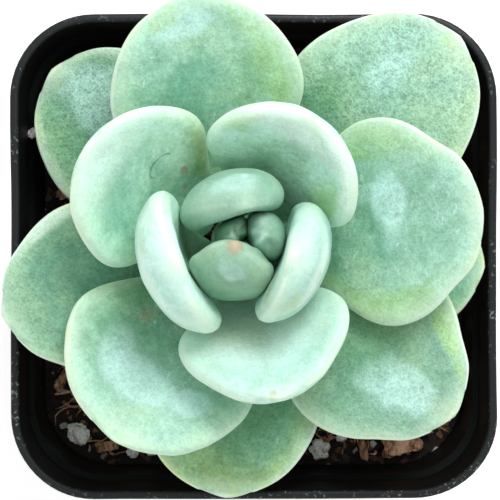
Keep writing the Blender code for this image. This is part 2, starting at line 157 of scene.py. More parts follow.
class Paint:
    """One material, ready to take nodes."""

    def __init__(self, name):
        self.material = bpy.data.materials.new(name)
        self.material.use_nodes = True
        self.tree = self.material.node_tree
        self.shader = self.tree.nodes["Principled BSDF"]
        self.place = self.node("ShaderNodeTexCoord", output="Object")

    def node(self, kind, settings=None, inputs=None, output=0):
        made = self.tree.nodes.new(kind)
        for key, value in (settings or {}).items():
            setattr(made, key, value)
        for key, value in (inputs or {}).items():
            self.feed(made.inputs[key], value)
        return Signal(self, made.outputs[output])

    def feed(self, socket, value):
        if isinstance(value, Signal):
            self.tree.links.new(value.socket, socket)
        elif socket.type == "RGBA":
            socket.default_value = (*value, 1.0)
        else:
            socket.default_value = value

    def set(self, **values):
        """Values for the shader's own sockets, named with _ for a space."""
        for key, value in values.items():
            self.feed(self.shader.inputs[key.replace("_", " ")], value)

    def mix(self, first, second, share):
        return self.node("ShaderNodeMix", {"data_type": "RGBA"}, {0: share, 6: first, 7: second}, output=2)

    def shade(self, tone, strength):
        """A colour made darker where strength is under 1 and lighter where it is over 1."""
        return self.node("ShaderNodeVectorMath", {"operation": "SCALE"}, {0: tone, "Scale": strength})

    def rise(self, value, start, end, low=0.0, high=1.0):
        """Goes smoothly from low to high as value goes from start to end."""
        return self.node(
            "ShaderNodeMapRange", {"interpolation_type": "SMOOTHSTEP"},
            {"Value": value, "From Min": start, "From Max": end, "To Min": low, "To Max": high},
        )

    def cloud(self, size, detail=3.0, warp=0.0, at=None, rough=0.5):
        """Soft noise from 0 to 1, its lumps about size across."""
        return self.node(
            "ShaderNodeTexNoise", {},
            {"Vector": at or self.place, "Scale": 1.0 / size, "Detail": detail, "Roughness": rough,
             "Distortion": warp},
        )

    def cells(self, size, at=None, output="Distance"):
        """Grains about size across: the distance from a grain's middle, or a colour for each grain."""
        inputs = {"Vector": at or self.place, "Scale": 1.0 / size}
        return self.node("ShaderNodeTexVoronoi", {}, inputs, output)

    def stretch(self, scale, at=None, shift=(0.0, 0.0, 0.0)):
        inputs = {"Vector": at or self.place, "Scale": scale, "Location": shift}
        return self.node("ShaderNodeMapping", {}, inputs)

    def reading(self, name):
        """A number that the mesh carries at each of its points."""
        return self.node("ShaderNodeAttribute", {"attribute_name": name}, output="Fac")

    def join(self, x, y, z=0.0):
        return self.node("ShaderNodeCombineXYZ", {}, {"X": x, "Y": y, "Z": z})

    def part(self, axis, at=None):
        return self.node("ShaderNodeSeparateXYZ", {}, {"Vector": at or self.place}, output=axis)

    def bump(self, height, depth, strength=1.0, under=None):
        inputs = {"Height": height, "Distance": depth, "Strength": strength}
        if under:
            inputs["Normal"] = under
        return self.node("ShaderNodeBump", {}, inputs)


# ---- Modelling helpers ----

def mode(name):
    bpy.ops.object.mode_set(mode=name)


def deselect():
    if bpy.context.object and bpy.context.object.mode != "OBJECT":
        mode("OBJECT")
    bpy.ops.object.select_all(action="DESELECT")


def pick(obj):
    """Make obj the only selected and the active object."""
    deselect()
    obj.hide_set(False)
    obj.select_set(True)
    bpy.context.view_layer.objects.active = obj


def new_piece(name):
    """Name the object that an operator has just added."""
    obj = bpy.context.object
    obj.name = name
    obj.data.name = name
    return obj


def smooth_shade(obj):
    pick(obj)
    bpy.ops.object.shade_smooth()
    return obj


def apply_place(obj):
    pick(obj)
    bpy.ops.object.transform_apply(location=True, rotation=True, scale=True)


def apply_modifier(obj, name, kind, **settings):
    pick(obj)
    modifier = obj.modifiers.new(name, kind)
    for key, value in settings.items():
        setattr(modifier, key, value)
    bpy.ops.object.modifier_apply(modifier=modifier.name)


def points_of(mesh, what="co"):
    flat = np.empty(len(mesh.vertices) * 3, dtype=np.float32)
    mesh.vertices.foreach_get(what, flat)
    return flat.reshape(-1, 3)


def normals_of(mesh):
    return points_of(mesh, "normal")


def move_points(mesh, points):
    mesh.vertices.foreach_set("co", points.astype(np.float32).ravel())
    mesh.update()


def ripple(points, size, seed):
    """Smooth noise from about -1 to 1 at each point, its lumps about size across."""
    shift = Vector((seed * 13.7, seed * 7.3, seed * 3.9))
    return np.array([noise.noise(Vector(p) / size + shift) for p in points.tolist()])


def write_reading(mesh, name, values):
    reading = mesh.attributes.new(name, "FLOAT", "POINT")
    reading.data.foreach_set("value", np.asarray(values, dtype=np.float32))


def read_reading(mesh, name):
    values = np.empty(len(mesh.vertices), dtype=np.float32)
    mesh.attributes[name].data.foreach_get("value", values)
    return values


def smooth_through_points(obj, levels):
    """Round a coarse shape off without shrinking it: the smooth skin passes through its old points."""
    pick(obj)
    modifier = obj.modifiers.new("Smooth", "SUBSURF")
    modifier.levels = modifier.render_levels = levels
    wanted = points_of(obj.data)
    for _ in range(FITTING_PASSES):
        skin = obj.evaluated_get(bpy.context.evaluated_depsgraph_get()).data
        move_points(obj.data, points_of(obj.data) + wanted - points_of(skin)[: len(wanted)])
    bpy.ops.object.modifier_apply(modifier=modifier.name)


def add_object(name, data):
    obj = bpy.data.objects.new(name, data)
    bpy.context.scene.collection.objects.link(obj)
    return obj


def frame_copy(node, name):
    """A merged, smooth-shaded copy of a node's mesh, as an object of its own."""
    bm = bmesh.new()
    bm.from_mesh(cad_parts[node].data)
    bmesh.ops.remove_doubles(bm, verts=bm.verts, dist=0.002 * MM)
    mesh = bpy.data.meshes.new(name)
    bm.to_mesh(mesh)
    bm.free()
    mesh.materials.clear()
    return smooth_shade(add_object(name, mesh))


def rounded_copy(node, name, levels):
    """A copy of a node's mesh, with its facets rounded off."""
    obj = frame_copy(node, name)
    apply_modifier(obj, "Round", "SUBSURF", levels=levels, render_levels=levels)
    return obj


def roughen(obj, relief):
    """Move each point out along its normal, as far as relief says for it."""
    points, normals = points_of(obj.data), normals_of(obj.data)
    move_points(obj.data, points + normals * relief(points)[:, None])


def nodes_named(start):
    return sorted(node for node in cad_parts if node.startswith(start))


def node_surface(node):
    """A node's mesh, ready to be looked up by rays."""
    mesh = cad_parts[node].data
    return BVHTree.FromPolygons([v.co for v in mesh.vertices], [p.vertices for p in mesh.polygons])


def finish_piece(obj, material, slot, *nodes):
    """Paint a piece, and set it on the plant in place of the nodes that it stands for."""
    obj.data.materials.clear()
    obj.data.materials.append(material)
    deselect()
    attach(obj, "root")
    if nodes:
        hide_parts(*nodes)


# ---- Leaves ----

LEAF_LOOKS = {
    # depth of green, thickness of wax, speckle, scratches, warmth, lightness with painted light and shade
    "outer_leaf_1": (0.75, 0.2, 0.7, 0.3, 0.9, 1.1),
    "outer_leaf_2": (0.6, 0.12, 1.4, 0.3, 0.4, 0.66),
    "outer_leaf_3": (0.8, 0.15, 0.8, 0.5, 0.95, 1.0),
    "outer_leaf_4": (0.25, 0.45, 1.2, 0.4, 0.55, 0.87),
    "outer_leaf_5": (0.7, 0.25, 0.9, 0.3, 0.35, 0.8),
    "outer_leaf_6": (0.5, 0.3, 0.8, 0.5, 0.45, 0.76),
    "outer_leaf_7": (0.5, 0.45, 0.6, 0.7, 0.4, 0.98),
    "outer_leaf_8": (0.5, 0.55, 0.5, 0.9, 0.45, 0.98),
    "outer_leaf_9": (0.4, 0.5, 0.6, 1.0, 0.45, 0.92),
    "middle_leaf_1": (0.25, 0.6, 0.35, 0.6, 0.4, 1.1),
    "middle_leaf_2": (0.0, 0.85, 0.3, 0.7, 0.2, 1.0),
    "middle_leaf_3": (0.1, 0.8, 0.35, 0.6, 0.3, 1.1),
    "inner_leaf_1": (0.15, 0.95, 0.2, 0.4, 0.35, 1.08),
    "inner_leaf_2": (0.2, 0.85, 0.2, 0.4, 0.2, 0.98),
    "inner_leaf_3": (0.25, 0.35, 0.25, 0.3, 0.25, 0.76),
    "inner_leaf_4": (0.4, 0.15, 0.25, 0.3, 0.25, 0.72),
    "heart_leaf_1": (0.35, 0.15, 0.2, 0.1, 0.05, 0.66),
    "heart_leaf_2": (1.0, 0.05, 0.2, 0.1, 0.05, 0.5),
    "heart_leaf_3": (1.0, 0.05, 0.2, 0.1, 0.05, 0.5),
}

# How far some leaves' shoulders are drawn in, so that the tip comes to a blunt corner, in mm.
SHOULDER_PINCH = {"outer_leaf_6": 0.9, "outer_leaf_9": 1.0, "middle_leaf_2": 0.6, "outer_leaf_5": 0.5}

# The leaves that crowd together at the heart, and how much of the crowding each one takes.
CROWDED = {
    "inner_leaf_1": 0.6, "inner_leaf_2": 0.5, "inner_leaf_3": 0.5, "inner_leaf_4": 1.0,
    "heart_leaf_1": 1.0, "heart_leaf_2": 1.1, "heart_leaf_3": 1.1,
}

# What the filling out leaves free on each side, and how many passes then even it out over the skin.
LEAF_CLEARANCE = 0.06 * MM
EVENING_PASSES = 60

# The youngest of them, with a smoother skin and a fainter margin than the rest.
YOUNG = ("inner_leaf_3", "inner_leaf_4", "heart_leaf_1", "heart_leaf_2", "heart_leaf_3")

# Patches on a leaf, on its upper side only except on the inner leaves: how far along it, how far to its
# side, the radius along and the radius across as shares of the leaf, the tone, and the strength.
LEAF_MARKS = {
    "outer_leaf_2": ((0.83, -0.16, 0.2, 0.5, "bloom", 0.4), (0.8, 0.6, 0.4, 0.3, "deep", 0.6)),
    "outer_leaf_3": ((0.68, 0.1, 0.25, 0.5, "deep", 0.6), (0.96, 0.0, 0.1, 0.8, "olive", 0.7)),
    "outer_leaf_4": (
        (0.75, 0.26, 0.12, 0.25, "bloom", 0.45), (0.98, 0.11, 0.03, 0.3, "warm", 0.7),
        (0.48, 0.5, 0.25, 0.3, "deep", 0.5),
    ),
    "outer_leaf_5": ((0.62, -0.25, 0.25, 0.45, "teal", 0.55), (0.66, -0.92, 0.2, 0.1, "painted_highlight", 0.45)),
    "outer_leaf_6": (
        (0.79, -0.16, 0.15, 0.35, "bloom", 0.55), (0.6, 0.15, 0.16, 0.4, "deep", 0.55),
        (0.8, 0.81, 0.16, 0.18, "warm", 0.7),
    ),
    "outer_leaf_7": (
        (0.9, 0.21, 0.07, 0.5, "bloom", 0.55), (0.66, 0.05, 0.14, 0.4, "teal", 0.6),
        (0.64, -0.75, 0.3, 0.22, "warm", 0.6), (0.94, 0.59, 0.06, 0.3, "warm", 0.5),
    ),
    "outer_leaf_8": (
        (0.72, -0.03, 0.1, 0.45, "bloom", 0.65), (0.66, -0.48, 0.12, 0.16, "bloom", 0.6),
        (0.7, 0.45, 0.06, 0.2, "bloom", 0.5), (0.5, -0.65, 0.26, 0.28, "deep", 0.55),
        (0.78, -0.98, 0.14, 0.05, "cream", 0.45), (0.44, -0.4, 0.05, 0.09, "corky", 0.35),
    ),
    "outer_leaf_9": (
        (0.62, 0.16, 0.075, 0.44, "bloom", 0.7), (0.5, 0.3, 0.14, 0.1, "bloom", 0.35),
        (0.4, -0.16, 0.24, 0.26, "teal", 0.5), (0.55, 0.8, 0.3, 0.22, "warm", 0.45),
        (0.53, -0.82, 0.3, 0.22, "warm", 0.5),
    ),
    "middle_leaf_1": (
        (0.46, -0.85, 0.22, 0.3, "olive", 0.6), (0.64, 0.3, 0.22, 0.4, "teal", 0.45),
        (0.57, -0.29, 0.042, 0.17, "scratch", 0.6), (0.42, -0.46, 0.03, 0.06, "corky", 0.5),
        (0.33, -0.31, 0.02, 0.04, "corky", 0.45), (0.93, 0.0, 0.14, 1.4, "painted_highlight", 0.45),
    ),
    "middle_leaf_2": (
        (0.73, 0.25, 0.15, 0.3, "bloom", 0.55), (0.72, -0.35, 0.15, 0.25, "bloom", 0.45),
        (0.5, -0.25, 0.1, 0.25, "warm", 0.45), (0.99, -0.26, 0.015, 0.16, "corky", 0.6),
        (0.56, 0.0, 0.26, 1.1, "painted_highlight", 0.5),
    ),
    "middle_leaf_3": (
        (0.6, 0.0, 0.2, 0.35, "deep", 0.5), (0.58, -0.6, 0.2, 0.22, "warm", 0.6),
        (0.73, -0.89, 0.2, 0.12, "painted_highlight", 0.6), (0.81, 0.85, 0.12, 0.15, "warm", 0.55),
        (0.93, 0.0, 0.13, 1.4, "painted_highlight", 0.65),
    ),
    "inner_leaf_1": (
        (0.8, 0.1, 0.07, 0.9, "painted_highlight", 0.7), (0.84, -0.6, 0.05, 0.3, "warm", 0.3),
        (0.96, 0.0, 0.05, 1.5, "bloom", 0.5),
    ),
    "inner_leaf_2": (
        (0.8, -0.05, 0.07, 0.8, "painted_highlight", 0.75), (0.86, -0.8, 0.06, 0.25, "warm", 0.4),
        (0.7, 0.6, 0.1, 0.3, "teal", 0.35),
    ),
    "inner_leaf_3": (
        (0.88, 0.2, 0.09, 0.7, "bloom", 0.35), (0.84, -0.1, 0.03, 0.1, "painted_highlight", 0.3),
        (0.9, -0.7, 0.08, 0.3, "teal", 0.4),
    ),
    "inner_leaf_4": (
        (0.9, 0.0, 0.07, 0.7, "bloom", 0.35), (0.84, 0.1, 0.03, 0.2, "painted_highlight", 0.2),
        (1.0, 0.0, 0.012, 9.0, "corky", 0.85),
    ),
    "heart_leaf_1": ((0.95, 0.0, 0.06, 0.9, "bloom", 0.35),),
}

# The colour of each tone, and how softly its patches fade out. A scratch is a thin arc, not a patch.
MARK_TONES = {
    "bloom": ((0.56, 0.85, 0.8), 0.55),
    # Painted highlight: pale patches of light on the lit tips, ridges and rims of the leaves.
    "painted_highlight": ((0.78, 0.93, 0.84), 1.1),
    # Deep: the leaf's own deeper green, partly painted shade where neighbouring leaves overhang it.
    "deep": ((0.13, 0.32, 0.16), 1.1),
    "teal": ((0.15, 0.4, 0.29), 0.9),
    "warm": ((0.37, 0.6, 0.25), 0.9),
    "olive": ((0.23, 0.35, 0.1), 0.9),
    "cream": ((0.74, 0.82, 0.54), 0.6),
    "corky": ((0.36, 0.21, 0.09), 0.6),
    "scratch": ((0.05, 0.12, 0.07), 1.0),
}


def leaf_rings(bm):
    """A leaf's points as rings from its foot to its tip, each ring in step with the last."""
    poles = sorted(bm.verts, key=lambda v: -len(v.link_edges))[:2]
    foot, tip = sorted(poles, key=lambda v: v.co.z)
    near = [edge.other_vert(foot) for edge in foot.link_edges]
    ring = [near[0]]
    while len(ring) < len(near):
        ring.append(next(v for v in near if v not in ring and bm.edges.get((ring[-1], v))))
    rings = [[foot], ring]
    seen = {foot, *ring}
    while True:
        ring = rings[-1]
        beyond = []
        for here, following in zip(ring, ring[1:] + ring[:1]):
            faces = bm.edges.get((here, following)).link_faces
            beyond.append(next(v for face in faces for v in face.verts if v not in seen))
        if beyond[0] is tip:
            return rings + [[tip]]
        seen.update(beyond)
        turned = beyond[-1:] + beyond[:-1]
        rings.append(min((beyond, turned), key=lambda r: sum((a.co - b.co).length for a, b in zip(ring, r))))


def leaf_body(node, settings):
    """A smooth leaf of four-sided faces that knows how far along, across and up each point is."""
    leaf = frame_copy(node, node + "_skin")
    mesh = leaf.data
    bm = bmesh.new()
    bm.from_mesh(mesh)
    along, side, upper = (bm.verts.layers.float.new(name) for name in ("along", "side", "upper"))
    rings = leaf_rings(bm)
    steps = len(rings) - 1
    kept = set()
    for number in range(1, steps):
        ring, following = rings[number], rings[number + 1]
        count = len(ring)
        for i, vert in enumerate(ring):
            kept.add(frozenset((vert, ring[(i + 1) % count])))
            kept.add(frozenset((vert, following[i if len(following) > 1 else 0])))
            if number == 1:
                kept.add(frozenset((vert, rings[0][0])))
    centres = [sum((v.co for v in ring), Vector()) / len(ring) for ring in rings]
    for number, ring in enumerate(rings):
        share = (1.0 - math.cos(math.pi * number / steps)) / 2.0
        ahead = centres[min(number + 1, steps)] - centres[max(number - 1, 0)]
        outward = Vector((centres[number].x - STEM_X, centres[number].y - STEM_Y, 0.0))
        across = Vector((0, 0, 1)).cross(outward).normalized()
        up = ahead.cross(across).normalized()
        reach = max(abs((v.co - centres[number]).dot(across)) for v in ring) or 1.0
        middle = sum(v.co.dot(up) for v in ring) / len(ring)
        height = max(abs(v.co.dot(up) - middle) for v in ring) or 1.0
        for vert in ring:
            vert[along] = share
            if len(ring) > 1:
                vert[side] = (vert.co - centres[number]).dot(across) / reach
                vert[upper] = (vert.co.dot(up) - middle) / height
    diagonals = [e for e in bm.edges if frozenset(e.verts) not in kept]
    bmesh.ops.dissolve_edges(bm, edges=diagonals, use_verts=False)
    bm.to_mesh(mesh)
    bm.free()
    smooth_through_points(leaf, settings.smoothing)
    return leaf


def sculpt_leaf(leaf, seed, strength, settings):
    """Swell the flesh a little, raise a thin ridge round its margin and draw in its shoulders."""
    mesh = leaf.data
    points, normals = points_of(mesh), normals_of(mesh)
    side, along = read_reading(mesh, "side"), read_reading(mesh, "along")
    blade = np.clip(along * 4.0, 0.0, 1.0) * strength
    swell = 0.6 * ripple(points, 6.0 * MM, seed) + 0.4 * ripple(points, 2.4 * MM, seed + 40)
    ridge = np.exp(-(((1.0 - np.abs(side)) / 0.035) ** 2))
    shift = blade * (settings.swell * swell * (1.0 - 0.7 * ridge) + settings.margin * ridge)
    points += normals * shift[:, None]
    outward = points[np.argmax(along)] - points[np.argmin(along)]
    across = np.array([-outward[1], outward[0], 0.0]) / math.hypot(outward[0], outward[1])
    pinch = SHOULDER_PINCH.get(leaf.name.removesuffix("_skin"), 0.0) * MM
    shoulder = np.exp(-(((along - 0.86) / 0.09) ** 2)) * side
    points -= across * (pinch * shoulder)[:, None]
    move_points(mesh, points)


def crowd_neighbours(leaf, node, names, reach):
    """Fill the flesh out by up to half the gap to the leaves beside it, evened out over its skin."""
    mesh = leaf.data
    points, normals = points_of(mesh), normals_of(mesh)
    corners, faces = [], []
    for other in names:
        if other != node:
            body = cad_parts[other].data
            faces += [[i + len(corners) for i in p.vertices] for p in body.polygons]
            corners += [v.co.copy() for v in body.vertices]
    beside = BVHTree.FromPolygons(corners, faces)
    push = np.zeros(len(points))
    for i, (point, normal) in enumerate(zip(points.tolist(), normals.tolist())):
        gap = beside.ray_cast(Vector(point), Vector(normal), 2.5 * reach)[3]
        if gap is not None:
            push[i] = min(reach, max(0.0, gap / 2 - LEAF_CLEARANCE))
    ends = np.empty(2 * len(mesh.edges), dtype=np.int32)
    mesh.edges.foreach_get("vertices", ends)
    first, second = ends[::2], ends[1::2]
    count = np.bincount(ends, minlength=len(points))
    for _ in range(EVENING_PASSES):
        total = np.bincount(first, push[second], len(points))
        total += np.bincount(second, push[first], len(points))
        push = 0.5 * push + 0.5 * total / count
    move_points(mesh, points + normals * push[:, None])


def leaf_paint(leaf, settings, seed, clear):
    """Grey-green leaf flesh under powdery wax, speckled, rubbed and pale along its margin, with painted
    highlights and shade.
    """
    green, thickness, speckle, scratches, warmth, tone_and_painted_light = LEAF_LOOKS[leaf]
    paint = Paint(leaf + "_wax")
    along, side, upper = map(paint.reading, ("along", "side", "upper"))
    off = abs(side)
    face = 1.0 if leaf.startswith("inner_leaf") else paint.rise(upper, -0.5, 0.2)
    here = paint.stretch((1.0, 1.0, 1.0), shift=(seed * 0.031, seed * 0.017, seed * 0.023))
    broad = paint.cloud(11.0 * MM, 2.0, 0.2, here)
    patchy = paint.cloud(5.0 * MM, 5.0, 0.4, here, 0.6)
    fine = paint.cloud(0.7 * MM, 4.0, 0.2, here, 0.65)

    # Flesh: deep green at the foot and in the hollow, partly painted shade, mint toward the tip and the
    # margins.
    outward = along * 0.75 + off * off * 0.4 + (broad - 0.5) * 0.8 + (patchy - 0.5) * 0.5
    flesh = paint.mix(settings.deep, settings.mint, paint.rise(outward, green - 0.05, green + 0.7))
    sunny = paint.rise(broad + (patchy - 0.5) * 0.5, 0.46, 0.7) * warmth
    sunny = sunny + paint.rise(off, 0.55, 0.9) * warmth * 0.6
    flesh = paint.mix(flesh, settings.warm, sunny.least(0.8))

    # Wax: an even veil that thins toward the foot, rubbed into fine pale scratches.
    veil = (0.35 + 0.65 * paint.rise(patchy + (fine - 0.5) * 0.3, 0.36, 0.66)) * thickness * 0.55
    veil = veil + paint.rise(along, 0.3, 0.95) * 0.35 * thickness
    lines = paint.cloud(1.1 * MM, 5.0, 3.0, paint.stretch((1.0, 0.35, 0.7), here), 0.65)
    rubbed = paint.rise(lines, 0.59, 0.67) * paint.rise(patchy, 0.42, 0.58) * scratches
    skin = paint.mix(flesh, settings.bloom, (veil + rubbed * 0.6).least(0.95))
    # Each leaf's lightness is partly its own tone and partly painted light and shade: the heart's leaves are
    # painted darker, as in shade.
    skin = paint.shade(skin, tone_and_painted_light)

    # Patches of thicker wax, sunburn and cork, deep green that is partly painted shade, and painted
    # highlights.
    ragged = (patchy - 0.5) * 2.2 + (fine - 0.5) * 0.8
    for mark_along, mark_side, reach, spread, tone, strength in LEAF_MARKS.get(leaf, ()):
        across = paint.join((along - mark_along) / reach, (side - mark_side) / spread)
        far = paint.node("ShaderNodeVectorMath", {"operation": "LENGTH"}, {0: across}, output="Value")
        if tone == "scratch":
            far = abs(far - 1.0) * 8.0 + paint.rise(along, mark_along, mark_along - 0.5 * reach)
        shade, soft = MARK_TONES[tone]
        blot = paint.rise(far + ragged, 1.0 + soft * 0.35, 1.0 - soft * 0.75)
        skin = paint.mix(skin, shade, blot * face * strength)

    # Speckle: the uneven fine cells of the skin, and faint veins that run out from the foot.
    grain = paint.cells(0.3 * MM, at=here)
    uneven = paint.part("X", paint.cells(0.3 * MM, at=here, output="Color"))
    mottle = paint.cloud(1.8 * MM, 4.0, 0.6, here, 0.6)
    pores = paint.rise(grain, 0.1, 0.7, 1.0 - 0.14 * speckle, 1.0 + 0.1 * speckle)
    pores = pores + (uneven - 0.5) * 0.26 * speckle + (fine - 0.5) * (0.2 + 0.5 * speckle)
    pores = pores + (mottle - 0.5) * (0.15 + 0.45 * speckle) + (patchy - 0.5) * 0.35
    veins = paint.cloud(1.0, 3.0, 0.3, paint.join(side * 22.0, along * 4.0, seed * 1.7))
    skin = paint.shade(skin, pores * (0.94 + 0.12 * veins))

    # Margin: clear and pale, partly painted highlight, with a crisp painted highlight line on its very edge.
    margin_glow_and_highlight = paint.rise(off, 0.74, 1.0).most(paint.rise(along, 0.9, 1.0)) * (0.2 + 0.35 * patchy)
    edge_highlight_line = paint.rise(off, 0.96, 0.995).most(paint.rise(along, 0.985, 0.999)) * (0.25 + 0.45 * fine)
    edge = paint.mix(settings.edge, (0.66, 0.76, 0.4), paint.rise(patchy, 0.44, 0.6) * warmth)
    skin = paint.mix(skin, edge, ((margin_glow_and_highlight + edge_highlight_line) * (0.25 + 0.75 * face) * clear).least(0.85))

    # A few specks of grit.
    grit = paint.cells(6.0 * MM, at=here)
    skin = paint.mix(skin, (0.03, 0.035, 0.025), paint.rise(grit, 0.02, 0.01))

    paint.set(
        Base_Color=skin,
        Roughness=paint.rise(patchy + (fine - 0.5) * 0.5, 0.3, 0.7, 0.42, 0.62),
        IOR=1.42,
        Subsurface_Weight=0.2,
        Subsurface_Radius=(0.5, 1.0, 0.6),
        Subsurface_Scale=0.0012,
    )
    relief = paint.bump(patchy * 0.6 + lines * 0.2, 0.25 * MM, 0.5)
    relief = paint.bump(grain + fine * 0.8, 0.05 * MM, 0.3 + 0.4 * speckle, relief)
    paint.set(Normal=relief)
    return paint.material


def make_leaves(words, slot, settings):
    """Model and paint each leaf whose name starts with these words."""
    names = nodes_named(words)
    if not names:
        raise RuntimeError(f"the frame has no leaf named {words}")
    for name in names:
        seed = list(LEAF_LOOKS).index(name) + 1
        leaf = leaf_body(name, settings)
        if name in CROWDED:
            crowd = nodes_named(("middle_leaf", "inner_leaf", "heart_leaf"))
            crowd_neighbours(leaf, name, crowd, settings.crowding * CROWDED[name])
        grown = 0.3 if name in YOUNG else 1.0
        sculpt_leaf(leaf, seed, grown, settings)
        finish_piece(leaf, leaf_paint(name, settings, seed, grown), slot, name)


class LeafMaker:
    """Makes the leaves whose names start with an operator's own words."""

    slot = "leaf_wax"

    def execute(self, context):
        make_leaves(self.words, self.slot, context.scene.succulent_leaf)
        return {"FINISHED"}


class SUCCULENT_OT_outer_leaves(LeafMaker, Operator):
    """Make the nine broad leaves of the outer whorls"""

    bl_idname = "succulent.outer_leaves"
    bl_label = "Outer leaves"
    words = "outer_leaf"


class SUCCULENT_OT_middle_leaves(LeafMaker, Operator):
    """Make the three cupped leaves of the middle whorl"""

    bl_idname = "succulent.middle_leaves"
    bl_label = "Middle leaves"
    words = "middle_leaf"


class SUCCULENT_OT_inner_leaves(LeafMaker, Operator):
    """Make the four leaves that close over the heart"""

    bl_idname = "succulent.inner_leaves"
    bl_label = "Inner leaves"
    words = "inner_leaf"


class SUCCULENT_OT_heart_leaves(LeafMaker, Operator):
    """Make the three small leaves of the heart"""

    bl_idname = "succulent.heart_leaves"
    bl_label = "Heart leaves"
    words = "heart_leaf"
    slot = "heart_leaf_wax"


# ---- Stem ----

def stem_paint(settings):
    """Fleshy green stem, corky and brown toward the soil, with pale leaf scars."""
    paint = Paint("stem_skin")
    height = paint.part("Z")
    cork = paint.rise(height, SOIL_HIGH.z + 11 * MM, SOIL_HIGH.z + 1 * MM)
    rough = paint.cloud(1.4 * MM, 5.0, 0.8)
    flesh = paint.mix(settings.mint, settings.deep, paint.rise(rough, 0.3, 0.7))
    bark = paint.mix((0.26, 0.2, 0.1), (0.11, 0.075, 0.04), paint.rise(rough, 0.35, 0.65))
    skin = paint.mix(flesh, bark, (cork + (rough - 0.5) * 0.8).least(1.0).most(0.0))
    scars = paint.cells(2.6 * MM, at=paint.stretch((1.0, 1.0, 1.8)))
    skin = paint.mix(skin, (0.42, 0.38, 0.25), paint.rise(scars, 0.24, 0.14) * 0.6)
    paint.set(Base_Color=skin, Roughness=paint.rise(cork, 0.0, 1.0, 0.5, 0.85))
    paint.set(Normal=paint.bump(rough + scars * 0.6, 0.3 * MM, 0.7))
    return paint.material


class SUCCULENT_OT_stem(Operator):
    """Make the short fleshy stem that carries the leaves"""

    bl_idname = "succulent.stem"
    bl_label = "Stem"

    def execute(self, context):
        stem = rounded_copy("stem", "stem_flesh", 2)
        upright = np.array([1.0, 1.0, 2.0], dtype=np.float32)
        roughen(stem, lambda points: 0.18 * MM * ripple(points * upright, 1.8 * MM, 5))
        finish_piece(stem, stem_paint(context.scene.succulent_leaf), "stem_skin", "stem")
        return {"FINISHED"}


# ---- Pot ----

def pot_paint(settings):
    """Thin black moulded plastic: smooth outside, dull inside under painted shade, scuffed on the rim, whose
    lighter top and sparse glints are painted light, with specks of dust.
    """
    paint = Paint("black_plastic")
    height = paint.part("Z")
    smear = paint.cloud(9.0 * MM, 4.0, 0.8)
    fine = paint.cloud(0.5 * MM, 2.0)
    rim = paint.rise(height, POT_HIGH.z - 0.7 * MM, POT_HIGH.z - 0.1 * MM)
    rubs_and_glints = paint.rise(paint.cloud(0.5 * MM, 3.0, 0.5), 0.59, 0.67)
    rubs_and_glints = rubs_and_glints * paint.rise(paint.cloud(6.0 * MM), 0.42, 0.58)
    black = paint.mix(settings.black, (0.008, 0.011, 0.012), smear)
    # Painted light: the rim's top is painted a little lighter than the rest.
    black = paint.mix(black, (0.013, 0.015, 0.016), rim)
    # Along the rim: scuffs, and a sparse pale stipple that is painted glints.
    black = paint.mix(black, settings.scuff_and_glint, rim * rubs_and_glints * 0.8)
    dust = paint.rise(paint.cells(3.1 * MM), 0.045, 0.02)
    black = paint.mix(black, (0.42, 0.42, 0.38), dust * 0.5)
    inside = paint.reading("inside")
    splash = paint.rise(height, SOIL_HIGH.z + 4 * MM, SOIL_HIGH.z) * paint.rise(smear + fine * 0.3, 0.5, 0.8)
    black = paint.mix(black, (0.05, 0.034, 0.022), splash * inside * 0.6)
    # Painted shade: the inside walls are painted darker, except at the rim.
    black = paint.shade(black, 1.0 - 0.5 * inside * (1.0 - rim))
    paint.set(
        Base_Color=black, Roughness=0.24 + 0.2 * smear + 0.25 * rim * rubs_and_glints + 0.2 * inside,
        IOR=1.45, Specular_IOR_Level=0.25,
    )
    flow = paint.cloud(1.0, 2.0, at=paint.stretch((700.0, 700.0, 60.0)))
    relief = paint.bump(flow * 0.6 + smear, 0.1 * MM, 0.35)
    paint.set(Normal=paint.bump(fine, 0.03 * MM, 0.4, relief))
    return paint.material


def cut_levels(obj, axis, places):
    """Add loops round a shape by slicing it, without opening it."""
    pick(obj)
    mode("EDIT")
    for place in places:
        bpy.ops.mesh.select_all(action="SELECT")
        point, direction = [0.0] * 3, [0.0] * 3
        point[axis], direction[axis] = place, 1.0
        bpy.ops.mesh.bisect(plane_co=point, plane_no=direction)
    mode("OBJECT")


def select_parts(obj, kind, test):
    """In edit mode, select only the edges or faces that pass a test."""
    mode("EDIT")
    bpy.ops.mesh.select_mode(type=kind)
    bpy.ops.mesh.select_all(action="DESELECT")
    bm = bmesh.from_edit_mesh(obj.data)
    for part in (bm.edges if kind == "EDGE" else bm.faces):
        part.select = test(part)
    bm.select_flush_mode()
    bmesh.update_edit_mesh(obj.data)


